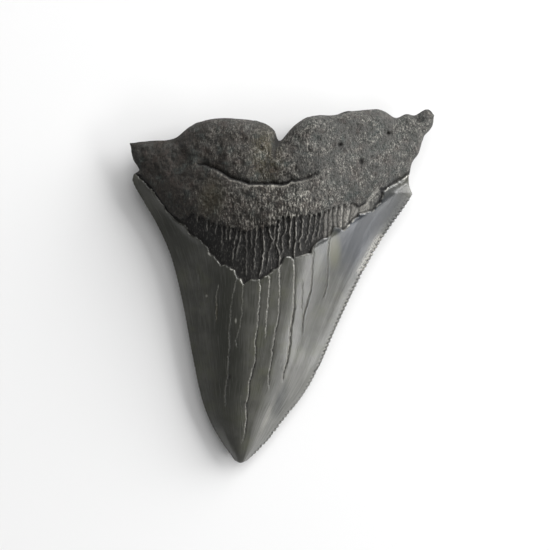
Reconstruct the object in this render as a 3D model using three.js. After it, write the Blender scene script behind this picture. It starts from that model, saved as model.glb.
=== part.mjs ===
// A fossil megalodon tooth, lying on its flatter labial face with the domed lingual face up.
// Millimetres. +Y runs from the tip to the root, +X to the right as seen from above, +Z up.
// The origin is the middle of the bounding box's underside, on the surface that the tooth lies on.
import * as THREE from "three";
import { mergeVertices } from "three/addons/utils/BufferGeometryUtils.js";

// Driving dimensions.
const WIDTH = 76;
const LENGTH = 88.5;
const HALF_WIDTH = WIDTH / 2;
const HALF_LENGTH = LENGTH / 2;

// Mesh density: columns run across the tooth, rows from the tip to the top of the root.
const COLUMNS = 44;
const CROWN_ROWS = 28;
const ROOT_ROWS = 20;

// The seam where the two faces meet, as [x, y, z]. It is the rounded tip, the two cutting edges up to the
// shoulders of the enamel, the two broken sides of the root, and the root's two lobes with the notch between.
const TIP_ARC = [
  [-11.7, -43.6, 3.2],
  [-10.3, -HALF_LENGTH, 3.1],
  [-8.6, -43.6, 3.2],
];
const LEFT_CUTTING_EDGE = [
  TIP_ARC[0],
  [-15.0, -38.8, 3.5],
  [-17.8, -33.9, 3.7],
  [-20.1, -27.6, 3.9],
  [-22.1, -18.2, 4.2],
  [-24.9, -3.2, 4.6],
  [-27.7, 7.8, 5.0],
  [-31.2, 15.8, 5.4],
  [-34.4, 21.3, 5.7],
  [-37.2, 26.7, 6.1],
  [-36.9, 28.2, 6.2],
];
const LEFT_ROOT_SIDE = [
  LEFT_CUTTING_EDGE.at(-1),
  [-35.6, 29.2, 6.4],
  [-36.9, 31.6, 6.6],
  [-HALF_WIDTH, 35.9, 7.2],
];
const RIGHT_CUTTING_EDGE = [
  TIP_ARC.at(-1),
  [-3.8, -38.9, 3.4],
  [0.7, -33.1, 3.6],
  [5.4, -27.1, 3.8],
  [9.2, -20.5, 4.1],
  [13.4, -10.8, 4.3],
  [19.1, 1.2, 4.7],
  [25.2, 12.1, 5.1],
  [31.7, 21.4, 5.6],
  [32.7, 23.2, 5.8],
];
const RIGHT_ROOT_SIDE = [
  RIGHT_CUTTING_EDGE.at(-1),
  [31.8, 26.0, 6.0],
  [32.7, 31.3, 6.5],
  [34.2, 33.4, 6.8],
  [35.6, 37.7, 7.3],
  [37.6, 40.0, 7.5],
  [HALF_WIDTH, 42.7, 7.7],
];
const ROOT_TOP = [
  LEFT_ROOT_SIDE.at(-1),
  [-33.3, 36.3, 7.3],
  [-26.3, 37.3, 7.3],
  [-22.7, 40.1, 7.3],
  [-18.0, 41.8, 7.2],
  [-12.5, 42.1, 7.1],
  [-4.3, 40.9, 6.9],
  [-1.8, 39.2, 6.8],
  [-0.5, 36.5, 6.7],
  [3.1, 40.3, 6.8],
  [7.0, 42.4, 6.9],
  [13.2, 42.9, 7.1],
  [17.2, 43.8, 7.2],
  [25.0, 44.1, 7.4],
  [28.6, 42.2, 7.5],
  [31.2, 43.2, 7.5],
  [33.3, 42.8, 7.6],
  [36.4, HALF_LENGTH - 0.02, 7.7],
  RIGHT_ROOT_SIDE.at(-1),
];

// Lines on the lingual face, as [x, y]. The enamel line is where the root ends and the crown begins.
const ENAMEL_LINE = [
  [-38.5, 29.8],
  [-22.9, 13.6],
  [-7.5, 2.2],
  [4.0, 8.6],
  [22.0, 20.5],
  [33.5, 28.8],
];
const LIP = [
  [-21.4, 30.2],
  [-19.2, 29.6],
  [-16.4, 28.7],
  [-12.7, 26.6],
  [-10.3, 25.8],
  [-5.3, 24.8],
  [-1.8, 24.9],
  [2.0, 25.4],
  [6.9, 26.7],
  [9.8, 28.2],
];
const FOLD = [
  [-0.5, 39.0],
  [-1.8, 34.0],
  [-3.0, 29.5],
];

// Height of the crown's ridge above the seam, and depth of the labial face below it, as [y, distance].
const CROWN_RIDGE = [
  [-HALF_LENGTH, 0.6],
  [-42.0, 2.1],
  [-38.0, 3.4],
  [-30.0, 5.2],
  [-18.0, 7.4],
  [0.0, 10.2],
  [12.0, 12.0],
  [HALF_LENGTH, 13.0],
];
const LABIAL_KEEL = [
  [-HALF_LENGTH, 0.5],
  [-42.0, 1.4],
  [-38.0, 2.2],
  [-30.0, 3.4],
  [-20.0, 4.7],
  [0.0, 5.5],
  [14.0, 6.2],
  [32.0, 7.6],
  [HALF_LENGTH, 8.0],
];

// The lingual face. The ridge lies a little left of the middle, and the crown's section is a bell.
const RIDGE_SHARE = 0.46;
const CROWN_SECTION_POWER = 1.5;

// The crown turns into the root over this distance across the enamel line.
const ROOT_BLEND = { from: -3.5, to: 7.5 };

// The root is highest on its crest and falls to both sides, more steeply to the left, and towards its top.
const ROOT_CREST = { x: 4, z: 18.9 };
const ROOT_FALL_LEFT = { drop: 11.0, reach: 42, power: 1.7 };
const ROOT_FALL_RIGHT = { drop: 9.0, reach: 34, power: 1.35 };
const ROOT_TOP_FALL = { share: 0.3, fromY: 24, toY: 42 };
const TORUS = { x: -6, y: 18.5, height: 2.0, halfWidth: 15, halfLength: 7 };
const LEFT_LOBE = { x: -13.5, y: 36, height: 1.0, halfWidth: 8, halfLength: 6 };
const ROOT_WALL_RADIUS = 4.2;
const LOBE_TIP = { fromX: 26, toX: 37, wallRadius: 1.6 };
const LIP_HOLLOW = { depth: 2.2, slopeLength: 2.5, halfWidth: 7 };
const FOLD_CLEFT = { depth: 3.0, fade: 0.7, halfWidth: 2.6 };
const FOLD_VALLEY = { depth: 1.5, halfWidth: 6 };

// The labial face is a shallow keel, worn flat where it would reach below the resting surface.
const LABIAL_ROOT = { fromY: 14, toY: 32 };
const LABIAL_WALL_RADIUS = 6.0;
const LABIAL_LOBE_LIFT = 0.5;
const THINNEST_EDGE = 0.12;

// How much rows crowd towards the top of the root, and columns towards both sides, where the walls turn over.
const ROW_CROWDING = 1.15;
const COLUMN_CROWDING = 0.6;
// How fast the rows lose the bend of the tip.
const TIP_BEND_POWER = 6;

const clamp01 = (value) => Math.min(1, Math.max(0, value));
const smoothstep = (low, high, value) => THREE.MathUtils.smoothstep(value, low, high);
const bell = (offset, width) => Math.exp(-((offset / width) ** 2));

function curveThrough(points) {
  const corners = points.map((point) => new THREE.Vector3(...point));
  return new THREE.CatmullRomCurve3(corners, false, "centripetal");
}

// The value at y on a run of [y, value] points.
function valueAt(run, y) {
  const next = run.findIndex(([at]) => at > y);
  if (next <= 0) return run.at(next === 0 ? 0 : -1)[1];
  const [y0, value0] = run[next - 1];
  const [y1, value1] = run[next];
  return THREE.MathUtils.lerp(value0, value1, (y - y0) / (y1 - y0));
}

// A rounded swelling, as high as it says at its middle.
function swelling({ x: middleX, y: middleY, height, halfWidth, halfLength }, x, y) {
  return height * bell(x - middleX, halfWidth) * bell(y - middleY, halfLength);
}

// The nearest place on a line of [x, y] points: its distance, its share of the line, and the side of the point.
function nearestOn(line, x, y) {
  let nearest = { distance: Infinity, share: 0, side: 0 };
  for (let i = 0; i < line.length - 1; i++) {
    const [startX, startY] = line[i];
    const alongX = line[i + 1][0] - startX;
    const alongY = line[i + 1][1] - startY;
    const reach = (x - startX) * alongX + (y - startY) * alongY;
    const share = clamp01(reach / (alongX ** 2 + alongY ** 2));
    const offX = x - startX - share * alongX;
    const offY = y - startY - share * alongY;
    const distance = Math.hypot(offX, offY);
    if (distance < nearest.distance) {
      const side = Math.sign(alongX * offY - alongY * offX);
      nearest = { distance, share: (i + share) / (line.length - 1), side };
    }
  }
  return nearest;
}

// The four sides of the patch that the seam bounds, each a function of its share from 0 to 1.
const crownShare = CROWN_ROWS / (CROWN_ROWS + ROOT_ROWS);

function sideOf(cuttingEdge, rootSide) {
  const lower = curveThrough(cuttingEdge);
  const upper = curveThrough(rootSide);
  return (v) => {
    if (v <= crownShare) return lower.getPointAt(v / crownShare);
    return upper.getPointAt(clamp01((v - crownShare) / (1 - crownShare)));
  };
}

const tipCurve = curveThrough(TIP_ARC);
const topCurve = curveThrough(ROOT_TOP);
const leftSide = sideOf(LEFT_CUTTING_EDGE, LEFT_ROOT_SIDE);
const rightSide = sideOf(RIGHT_CUTTING_EDGE, RIGHT_ROOT_SIDE);

// How far a curve bends away from its own chord.
function bendOf(curve, u) {
  const chord = curve.getPointAt(0).lerp(curve.getPointAt(1), u);
  return curve.getPointAt(u).sub(chord);
}

// The surface between the two faces, spanned by the seam. The crown's rows are straight, and the root's rows bend
// more and more towards the outline of its lobes.
function seamPoint(u, v) {
  const inRoot = clamp01((v - crownShare) / (1 - crownShare));
  const point = leftSide(v).lerp(rightSide(v), u);
  point.addScaledVector(bendOf(tipCurve, u), (1 - v) ** TIP_BEND_POWER);
  return point.addScaledVector(bendOf(topCurve, u), inRoot);
}

const rootOutline = [
  ...LEFT_ROOT_SIDE.slice(0, -1),
  ...ROOT_TOP,
  ...RIGHT_ROOT_SIDE.slice(0, -1).reverse(),
];

// A quarter-round wall, from 0 on the root's outline to 1 at one radius in.
function wall(distance, radius) {
  return Math.sqrt(1 - (1 - clamp01(distance / radius)) ** 2);
}

function lipHollow(x, y) {
  const { distance, share, side } = nearestOn(LIP, x, y);
  if (side <= 0) return 0;
  const ends = Math.sqrt(Math.sin(Math.PI * share));
  const { depth, slopeLength, halfWidth } = LIP_HOLLOW;
  return depth * ends * smoothstep(0, slopeLength, distance) * bell(distance, halfWidth);
}

// A narrow cleft from the notch, in a broad valley between the lobes.
function foldHollow(x, y) {
  const { distance, share } = nearestOn(FOLD, x, y);
  const fade = 1 - FOLD_CLEFT.fade * share;
  const cleft = FOLD_CLEFT.depth * fade * bell(distance, FOLD_CLEFT.halfWidth);
  const valley = FOLD_VALLEY.depth * bell(distance, FOLD_VALLEY.halfWidth);
  return Math.max(cleft, valley);
}

function rootCrestHeight(x) {
  const { drop, reach, power } = x < ROOT_CREST.x ? ROOT_FALL_LEFT : ROOT_FALL_RIGHT;
  return ROOT_CREST.z - drop * (Math.abs(x - ROOT_CREST.x) / reach) ** power;
}

function rootRise(x, y, z, edgeDistance) {
  const topFall = ROOT_TOP_FALL.share * smoothstep(ROOT_TOP_FALL.fromY, ROOT_TOP_FALL.toY, y);
  const thickness = (rootCrestHeight(x) - z) * (1 - topFall);
  const swellings = swelling(TORUS, x, y) + swelling(LEFT_LOBE, x, y);
  const height = thickness + swellings - lipHollow(x, y) - foldHollow(x, y);
  const lobeTip = smoothstep(LOBE_TIP.fromX, LOBE_TIP.toX, Math.abs(x));
  const radius = THREE.MathUtils.lerp(ROOT_WALL_RADIUS, LOBE_TIP.wallRadius, lobeTip);
  return height * wall(edgeDistance, radius);
}

// Height of the lingual face above the seam at z, at the share u across the tooth.
function lingualRise(x, y, z, u, edgeDistance) {
  const fromRidge = u < RIDGE_SHARE ? 1 - u / RIDGE_SHARE : (u - RIDGE_SHARE) / (1 - RIDGE_SHARE);
  const crown = valueAt(CROWN_RIDGE, y) * (1 - fromRidge ** 2) ** CROWN_SECTION_POWER;
  const { distance, side } = nearestOn(ENAMEL_LINE, x, y);
  const rootShare = smoothstep(ROOT_BLEND.from, ROOT_BLEND.to, distance * side);
  return THREE.MathUtils.lerp(crown, rootRise(x, y, z, edgeDistance), rootShare);
}

// Depth of the labial face below the seam, before it is worn flat.
function labialDepth(y, u, edgeDistance) {
  const middle = 1 - (2 * u - 1) ** 2;
  const lobes = 1 - LABIAL_LOBE_LIFT * (1 - middle);
  const root = lobes * wall(edgeDistance, LABIAL_WALL_RADIUS);
  const rootShare = smoothstep(LABIAL_ROOT.fromY, LABIAL_ROOT.toY, y);
  return valueAt(LABIAL_KEEL, y) * THREE.MathUtils.lerp(middle, root, rootShare);
}

function rowShare(row) {
  if (row <= CROWN_ROWS) return (row / CROWN_ROWS) * crownShare;
  const share = (row - CROWN_ROWS) / ROOT_ROWS;
  return crownShare + (1 - crownShare) * Math.sin((share * Math.PI) / 2) ** ROW_CROWDING;
}

function columnShare(column) {
  const share = column / COLUMNS;
  const crowded = (1 - Math.cos(share * Math.PI)) / 2;
  return THREE.MathUtils.lerp(share, crowded, COLUMN_CROWDING);
}

// The points of one face, row by row. Both faces share the seam's points.
function facePoints(isLingual) {
  const rows = CROWN_ROWS + ROOT_ROWS;
  const points = [];
  for (let row = 0; row <= rows; row++) {
    for (let column = 0; column <= COLUMNS; column++) {
      const u = columnShare(column);
      const { x, y, z } = seamPoint(u, rowShare(row));
      const onSeam = row === 0 || row === rows || column === 0 || column === COLUMNS;
      const edgeDistance = nearestOn(rootOutline, x, y).distance;
      const rise = Math.max(THINNEST_EDGE, lingualRise(x, y, z, u, edgeDistance));
      const depth = Math.max(THINNEST_EDGE, labialDepth(y, u, edgeDistance));
      const face = isLingual ? z + rise : Math.max(0, z - depth);
      points.push(x, y, onSeam ? z : face);
    }
  }
  return points;
}

function toothGeometry() {
  const stride = COLUMNS + 1;
  const labialStart = stride * (CROWN_ROWS + ROOT_ROWS + 1);
  const faces = [];
  for (let row = 0; row < CROWN_ROWS + ROOT_ROWS; row++) {
    for (let column = 0; column < COLUMNS; column++) {
      const a = row * stride + column;
      const [b, c, d] = [a + 1, a + 1 + stride, a + stride];
      faces.push(a, b, c, a, c, d);
      faces.push(...[a, c, b, a, d, c].map((corner) => corner + labialStart));
    }
  }
  const sheets = new THREE.BufferGeometry();
  const points = [...facePoints(true), ...facePoints(false)];
  sheets.setAttribute("position", new THREE.Float32BufferAttribute(points, 3));
  sheets.setIndex(faces);
  const closed = mergeVertices(sheets, 1e-3);
  closed.computeVertexNormals();
  return closed;
}

const fossil = new THREE.MeshStandardMaterial({
  name: "fossil",
  color: new THREE.Color(0.29, 0.28, 0.26),
  roughness: 0.6,
  metalness: 0,
});

const tooth = new THREE.Mesh(toothGeometry(), fossil);
tooth.name = "tooth";

const part = new THREE.Group();
part.add(tooth);

export default part;
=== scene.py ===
"""A fossil megalodon tooth, as it lies on a pale surface.

The visible fossil is one mesh of two faces: the domed lingual face on top and the flatter labial face below.
They share the seam: the rounded tip, the two serrated cutting edges and the outline of the root.
Shapes are in millimetres in the CAD model's frame, and millimetre turns them into metres.
"""

import math
from collections import namedtuple
from functools import partial, reduce

import bpy
import numpy as np
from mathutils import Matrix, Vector


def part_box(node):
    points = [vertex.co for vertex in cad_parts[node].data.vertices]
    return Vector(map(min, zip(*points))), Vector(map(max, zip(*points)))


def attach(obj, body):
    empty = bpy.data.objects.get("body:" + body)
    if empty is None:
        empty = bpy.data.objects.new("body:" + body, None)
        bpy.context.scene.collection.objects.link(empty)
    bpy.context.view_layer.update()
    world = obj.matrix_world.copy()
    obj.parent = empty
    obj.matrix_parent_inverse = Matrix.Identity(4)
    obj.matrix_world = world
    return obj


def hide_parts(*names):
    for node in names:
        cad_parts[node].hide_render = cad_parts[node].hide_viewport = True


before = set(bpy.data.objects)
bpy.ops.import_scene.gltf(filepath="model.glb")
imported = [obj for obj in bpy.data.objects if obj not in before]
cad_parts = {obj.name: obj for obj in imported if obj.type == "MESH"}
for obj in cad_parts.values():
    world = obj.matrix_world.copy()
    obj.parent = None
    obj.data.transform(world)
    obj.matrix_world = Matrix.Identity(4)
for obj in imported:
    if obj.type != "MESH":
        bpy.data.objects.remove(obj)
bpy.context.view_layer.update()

# Driving dimensions, as in the CAD model.
WIDTH = 76.0
LENGTH = 88.5
HALF_WIDTH = WIDTH / 2
HALF_LENGTH = LENGTH / 2

tooth_low, tooth_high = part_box("tooth")
millimetre = (tooth_high.x - tooth_low.x) / WIDTH

# The fine mesh. Each serration takes four rows, and the labial face uses every second row and column.
COLUMNS = 224
SERRATIONS = 72
ROWS_PER_SERRATION = 4
CROWN_ROWS = SERRATIONS * ROWS_PER_SERRATION
ROOT_ROWS = 64
ROWS = CROWN_ROWS + ROOT_ROWS
LABIAL_STEP = 2

# The seam, as [x, y, z]: tip, cutting edges, the broken sides of the root and the root's two lobes.
TIP_ARC = [
    (-11.7, -43.6, 3.2), (-10.3, -HALF_LENGTH, 3.1), (-8.6, -43.6, 3.2),
]
LEFT_CUTTING_EDGE = [
    TIP_ARC[0], (-15, -38.8, 3.5), (-17.8, -33.9, 3.7), (-20.1, -27.6, 3.9), (-22.1, -18.2, 4.2),
    (-24.9, -3.2, 4.6), (-27.7, 7.8, 5), (-31.2, 15.8, 5.4), (-34.4, 21.3, 5.7), (-37.2, 26.7, 6.1),
    (-36.9, 28.2, 6.2),
]
LEFT_ROOT_SIDE = [
    LEFT_CUTTING_EDGE[-1], (-35.6, 29.2, 6.4), (-36.9, 31.6, 6.6), (-HALF_WIDTH, 35.9, 7.2),
]
RIGHT_CUTTING_EDGE = [
    TIP_ARC[-1], (-3.8, -38.9, 3.4), (0.7, -33.1, 3.6), (5.4, -27.1, 3.8), (9.2, -20.5, 4.1),
    (13.4, -10.8, 4.3), (19.1, 1.2, 4.7), (25.2, 12.1, 5.1), (31.7, 21.4, 5.6), (32.7, 23.2, 5.8),
]
RIGHT_ROOT_SIDE = [
    RIGHT_CUTTING_EDGE[-1], (31.8, 26, 6), (32.7, 31.3, 6.5), (34.2, 33.4, 6.8), (35.6, 37.7, 7.3),
    (37.6, 40, 7.5), (HALF_WIDTH, 42.7, 7.7),
]
ROOT_TOP = [
    LEFT_ROOT_SIDE[-1], (-33.3, 36.3, 7.3), (-26.3, 37.3, 7.3), (-22.7, 40.1, 7.3), (-18, 41.8, 7.2),
    (-12.5, 42.1, 7.1), (-4.3, 40.9, 6.9), (-1.8, 39.2, 6.8), (-0.5, 36.5, 6.7), (3.1, 40.3, 6.8),
    (7, 42.4, 6.9), (13.2, 42.9, 7.1), (17.2, 43.8, 7.2), (25, 44.1, 7.4), (28.6, 42.2, 7.5),
    (31.2, 43.2, 7.5), (33.3, 42.8, 7.6), (36.4, HALF_LENGTH - 0.02, 7.7), RIGHT_ROOT_SIDE[-1],
]

# The rough line where the root gives way to the crown, for the overall form.
ROOT_MARGIN = [
    (-38.5, 29.8), (-22.9, 13.6), (-7.5, 2.2), (4, 8.6), (22, 20.5), (33.5, 28.8),
]
# Height of the crown's ridge above the seam, and depth of the labial face below it, as (y, distance).
CROWN_RIDGE = [
    (-HALF_LENGTH, 0.6), (-42, 2.1), (-38, 3.4), (-30, 5.2), (-18, 7.4), (0, 10.2),
    (12, 12), (HALF_LENGTH, 13),
]
LABIAL_KEEL = [
    (-HALF_LENGTH, 0.5), (-42, 1.4), (-38, 2.2), (-30, 3.4), (-20, 4.7), (0, 5.5), (14, 6.2),
    (32, 7.6), (HALF_LENGTH, 8),
]
RIDGE_SHARE = 0.46
CROWN_SECTION_POWER = 1.4
# The edges' bevel lifts the whole crown by this much, over this reach from the edge.
BEVEL_LIFT = 0.36
BEVEL_REACH = 0.8

# The root is highest on its crest and falls to both sides: each fall is its drop, its reach and its power.
ROOT_CREST_X = 4.0
ROOT_CREST_Z = 18.9
ROOT_FALL_LEFT = (11, 42, 1.7)
ROOT_FALL_RIGHT = (9, 34, 1.35)
ROOT_TOP_FALL = 0.3
ROOT_WALL_RADIUS = 4.2
LOBE_TIP_WALL_RADIUS = 1.6
# Rounded swellings, as height, x, y, half width and half length: the torus and the left lobe.
SWELLINGS = [(2, -6, 18.5, 15, 7), (1, -13.5, 36, 8, 6)]

# The labial face.
LABIAL_WALL_RADIUS = 6.0
LABIAL_LOBE_LIFT = 0.5
THINNEST_EDGE = 0.12

# Lines on the lingual face, as (x, y), each from left to right.
LIP = [
    (-21.4, 30.2), (-19.2, 29.6), (-16.4, 28.7), (-12.7, 26.6), (-10.3, 25.8), (-5.3, 24.8), (-1.8, 24.9),
    (2, 25.4), (6.9, 26.7), (9.8, 28.2),
]
FOLD = [(-0.5, 39), (-1.8, 34), (-3, 29.5)]
WING_STEP = [(-26, 38.5), (-22.9, 34.3), (-20.4, 30.6)]
BONE_EDGE = [
    (-38, 30.2), (-32.2, 24.6), (-27.6, 18.5), (-25, 16.8), (-23.2, 17), (-22, 17.9),
    (-18.9, 16.6), (-15.9, 15.4), (-12.3, 14.5), (-8.7, 13.3), (-6.9, 13.9), (-4.5, 14.2), (-1.8, 15.1),
    (0, 16.9), (3.3, 16.9), (9.6, 17.8), (12.6, 19.5), (15, 20.3), (17.6, 20.8), (19, 20.2),
    (20.1, 20.6), (21.4, 21.6), (22.3, 22.6), (23.5, 23.9), (25.9, 24.9), (28.9, 26.7), (33.5, 29.8),
]
ENAMEL_EDGE = [
    (-37.6, 29.4), (-32.2, 24.2), (-27.6, 18), (-25.6, 16.3), (-23.4, 14.8), (-22.6, 13),
    (-20.1, 11.8), (-18.5, 9.8), (-17.7, 8.1), (-16.2, 7.3), (-14.9, 5.5), (-13.6, 5.4), (-11.6, 4),
    (-11.1, 2.5), (-10.1, 2), (-9.2, 0.7), (-7.3, 2), (-5.3, 2), (-3.4, 3.1), (-0.6, 5.3),
    (1.1, 7.7), (3.1, 7.1), (4, 7.7), (5.8, 8.1), (7.2, 8.5), (8, 10.6), (9.2, 11.3), (12.1, 12.8),
    (13.1, 14.7), (15.5, 14.3), (17.3, 16), (19.3, 18), (22.4, 19), (24.6, 21.3), (25.3, 23.6),
    (26.2, 24.5), (29, 26.2), (32.5, 28.5), (33.5, 29.1),
]


def ease(low, high, value):
    """0 before low and 1 after high, with a smooth step between them."""
    share = np.clip((value - low) / (high - low), 0, 1)
    return share * share * (3 - 2 * share)


def bell(offset, width):
    return np.exp(-((offset / width) ** 2))


def mound(x, y, middle_x, middle_y, half_width, half_length):
    return bell(x - middle_x, half_width) * bell(y - middle_y, half_length)


def mix(start, end, share):
    return start + (end - start) * share


LATTICE = np.random.default_rng(7).uniform(-1, 1, (256, 256))


def noise(x, y, seed):
    """Smooth noise from -1 to 1, with one lattice step to each unit of x and y."""
    column = np.floor(x).astype(int)
    row = np.floor(y).astype(int)
    across = ease(0, 1, x - column)
    up = ease(0, 1, y - row)

    def lattice(step_x, step_y):
        return LATTICE[(column + step_x + 37 * seed) % 256, (row + step_y + 91 * seed) % 256]

    low = mix(lattice(0, 0), lattice(1, 0), across)
    high = mix(lattice(0, 1), lattice(1, 1), across)
    return mix(low, high, up)


def texture(x, y, height, width, length, seed):
    return height * noise(x / width, y / length, seed)


def fractal(x, y, height, size, seed, octaves=3):
    """Noise in several sizes, the largest of them size millimetres to a lattice step."""
    total = 0
    for octave in range(octaves):
        scale = 2**octave / size
        total = total + noise(x * scale, y * scale, seed + octave) / 2**octave
    return height * total


def smooth_line(points, steps=16):
    """A centripetal Catmull-Rom curve through the points, as short straight steps."""
    points = np.asarray(points, float)
    ends = [2 * points[0] - points[1], 2 * points[-1] - points[-2]]
    points = np.vstack([ends[0], points, ends[1]])
    gaps = np.linalg.norm(np.diff(points, axis=0), axis=1) ** 0.5
    knots = np.concatenate([[0], np.cumsum(gaps)])
    line = []
    for i in range(1, len(points) - 2):
        at = np.linspace(knots[i], knots[i + 1], steps, endpoint=False)[:, None]

        def between(low, high, start, end):
            return mix(start, end, (at - knots[low]) / (knots[high] - knots[low]))

        first = [between(k, k + 1, points[k], points[k + 1]) for k in (i - 1, i, i + 1)]
        left = between(i - 1, i + 1, first[0], first[1])
        right = between(i, i + 2, first[1], first[2])
        line.append(between(i, i + 1, left, right))
    return np.vstack([*line, points[-2]])


def along(line, shares):
    """The places on a line at the given shares of its length."""
    lengths = np.concatenate([[0], np.cumsum(np.linalg.norm(np.diff(line, axis=0), axis=1))])
    reach = np.asarray(shares) * lengths[-1]
    return np.stack([np.interp(reach, lengths, line[:, axis]) for axis in range(line.shape[1])], -1)


def nearest_on(line, x, y):
    """Each point's distance to a line, the nearest place's share of the line, and its side (+1 is left)."""
    line = np.asarray(line, float)
    distance = np.full(x.shape, np.inf)
    share = np.zeros(x.shape)
    side = np.zeros(x.shape)
    for i, (start, end) in enumerate(zip(line[:-1], line[1:])):
        step = end[:2] - start[:2]
        reach = ((x - start[0]) * step[0] + (y - start[1]) * step[1]) / (step @ step)
        reach = np.clip(reach, 0, 1)
        off_x = x - start[0] - reach * step[0]
        off_y = y - start[1] - reach * step[1]
        away = np.hypot(off_x, off_y)
        nearer = away < distance
        distance = np.where(nearer, away, distance)
        share = np.where(nearer, (i + reach) / (len(line) - 1), share)
        side = np.where(nearer, np.sign(step[0] * off_y - step[1] * off_x), side)
    return distance, share, side


def signed_distance(line, x, y):
    """Distance to a line whose x always grows: positive above it, on the root's side."""
    xs, ys = np.transpose(line)
    above = y > np.interp(x, xs, ys)
    return nearest_on(line, x, y)[0] * np.where(above, 1, -1)


# ---- the seam and the patch that it bounds

crown_share = CROWN_ROWS / ROWS
# Rows crowd towards the top of the root, and columns towards both sides.
ROOT_CROWDING = 1.15
COLUMN_CROWDING = 0.25
TIP_BEND_POWER = 6
root_row_shares = np.sin(np.linspace(0, 1, ROOT_ROWS + 1) * math.pi / 2) ** ROOT_CROWDING


def seam_side(cutting_edge, root_side):
    """One side of the seam, with a point for each row."""
    crown = along(smooth_line(cutting_edge), np.linspace(0, 1, CROWN_ROWS + 1))
    root = along(smooth_line(root_side), root_row_shares)
    return np.vstack([crown, root[1:]])


def row_shares():
    crown = np.linspace(0, crown_share, CROWN_ROWS + 1)
    return np.concatenate([crown, mix(crown_share, 1, root_row_shares[1:])])


def column_shares():
    even = np.linspace(0, 1, COLUMNS + 1)
    crowded = (1 - np.cos(even * math.pi)) / 2
    return mix(even, crowded, COLUMN_CROWDING)


def patch(left, right, bottom, top, u, v):
    """The surface that four curves bound, as a grid of points: rows by columns by xyz.

    The crown's rows are straight. The root's rows bend more and more towards the outline of its lobes.
    """
    u = u[None, :, None]
    v = v[:, None, None]
    across = mix(left[:, None], right[:, None], u)
    bottom_bend = bottom[None] - mix(bottom[0], bottom[-1], u)
    top_bend = top[None] - mix(top[0], top[-1], u)
    in_root = np.clip((v - crown_share) / (1 - crown_share), 0, 1)
    return across + bottom_bend * (1 - v) ** TIP_BEND_POWER + top_bend * in_root


def outward(side, sign):
    """The level direction that points out of the tooth, for each point of a side."""
    tangent = np.gradient(side[:, :2], axis=0)
    normal = np.stack([tangent[:, 1], -tangent[:, 0]], -1) * sign
    return normal / np.linalg.norm(normal, axis=1, keepdims=True)


# How far a serration's rows stand out of the edge, from its nick to the back of its tooth.
SERRATION_PROFILE = np.array([-1, 0.35, 0.6, 0.35])
# Each edge's serration height and seed.
RIGHT_SERRATION = (0.2, 8)
LEFT_SERRATION = (0.07, 3)
SERRATION_REACH = 0.5
FIRST_SERRATED_ROWS = (2, 10)
LAST_SERRATED_ROWS = (CROWN_ROWS, CROWN_ROWS - 8)
WEAR = 0.85
WEAR_SPREAD = 0.35
WEAR_ROWS = 9.0
CHIP_DEPTH = 0.8
CHIP_NOISE = (0.55, 0.8)
CHIP_ROWS = 5.0


def serration(amplitude, seed):
    """How far each row of a cutting edge stands out: a sharp nick, then a rounded tooth, and so on."""
    rows = np.arange(ROWS + 1)
    profile = np.tile(SERRATION_PROFILE, ROWS // ROWS_PER_SERRATION + 1)[: ROWS + 1]
    ends = ease(*FIRST_SERRATED_ROWS, rows) * ease(*LAST_SERRATED_ROWS, rows)
    wear = WEAR + WEAR_SPREAD * noise(rows / WEAR_ROWS, rows * 0, seed)
    chips = CHIP_DEPTH * ease(*CHIP_NOISE, noise(rows / CHIP_ROWS, rows * 0, seed + 5))
    return amplitude * ends * (profile * wear - chips)


# The root's outline is ragged, as height, size and seed, from a little above the shoulders.
RAGGED_X = (0.16, 3.2, 71)
RAGGED_Y = (0.16, 3.2, 75)
RAGGED_REACH = 2.0
RAGGED_START = 0.06


class Grid:
    """The patch inside the seam, point by point, with what the shapes need to know about each point."""

    def __init__(self):
        u = column_shares()
        v = row_shares()
        left = seam_side(LEFT_CUTTING_EDGE, LEFT_ROOT_SIDE)
        right = seam_side(RIGHT_CUTTING_EDGE, RIGHT_ROOT_SIDE)
        tip = along(smooth_line(TIP_ARC), u)
        top = along(smooth_line(ROOT_TOP), u)
        points = patch(left, right, tip, top, u, v)
        widths = np.linalg.norm(right - left, axis=1)[:, None]
        self.from_left = u[None] * widths
        self.from_right = (1 - u[None]) * widths
        self.serrated = serration(*RIGHT_SERRATION)
        left_shift = serration(*LEFT_SERRATION)[:, None] * bell(self.from_left, SERRATION_REACH)
        right_shift = self.serrated[:, None] * bell(self.from_right, SERRATION_REACH)
        shift = outward(left, -1)[:, None] * left_shift[..., None]
        shift = shift + outward(right, 1)[:, None] * right_shift[..., None]
        self.x = points[..., 0] + shift[..., 0]
        self.y = points[..., 1] + shift[..., 1]
        ragged = ease(crown_share, crown_share + RAGGED_START, v)[:, None]
        self.cutting_edge = np.minimum(self.from_left, self.from_right)
        ragged = ragged * bell(np.minimum(self.cutting_edge, (1 - v)[:, None] * LENGTH), RAGGED_REACH)
        self.x = self.x + ragged * fractal(self.x, self.y, *RAGGED_X)
        self.y = self.y + ragged * fractal(self.x, self.y, *RAGGED_Y)
        self.seam_z = points[..., 2]
        self.u = np.broadcast_to(u[None], self.x.shape)
        self.v = np.broadcast_to(v[:, None], self.x.shape)
        outline = np.vstack([
            smooth_line(LEFT_ROOT_SIDE, 4)[:-1],
            smooth_line(ROOT_TOP, 4),
            smooth_line(RIGHT_ROOT_SIDE, 4)[-2::-1],
        ])
        self.root_edge = nearest_on(outline, self.x, self.y)[0]
        self.edge = np.minimum(self.cutting_edge, self.root_edge)
        self.on_seam = np.zeros(self.x.shape, bool)
        self.on_seam[[0, -1]] = True
        self.on_seam[:, [0, -1]] = True


# ---- the lingual face

def wall(distance, radius):
    """A quarter-round wall, from 0 on the root's outline to 1 at one radius in."""
    return np.sqrt(1 - (1 - np.clip(distance / radius, 0, 1)) ** 2)


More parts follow.
